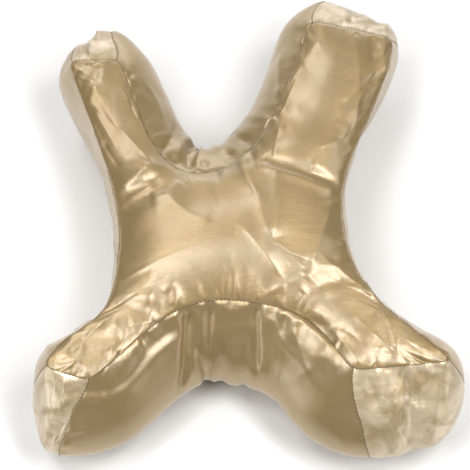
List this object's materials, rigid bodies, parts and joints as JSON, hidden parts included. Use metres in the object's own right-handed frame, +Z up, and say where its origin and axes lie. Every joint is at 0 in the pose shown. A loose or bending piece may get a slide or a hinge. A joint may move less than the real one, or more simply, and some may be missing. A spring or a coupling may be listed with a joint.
{
  "type": "cervical pillow",
  "caption": "Butterfly-shaped filled neck pillow with arms, legs, a deep vee and a neck arch, in a box-sewn gold satin cover.",
  "frame": {"origin": "centre of the pillow's plan box, on the surface it rests on", "axes": "+Z up from the resting face to the crowned top panel, +Y from the neck arch towards the vee, +X to the right of someone at the arch"},
  "size_m": [0.4008, 0.4664, 0.141],
  "materials": {
    "satin": "satin weave, champagne gold"
  },
  "bodies": {
    "root": {"pillow": "satin"}
  },
  "joints": []
}
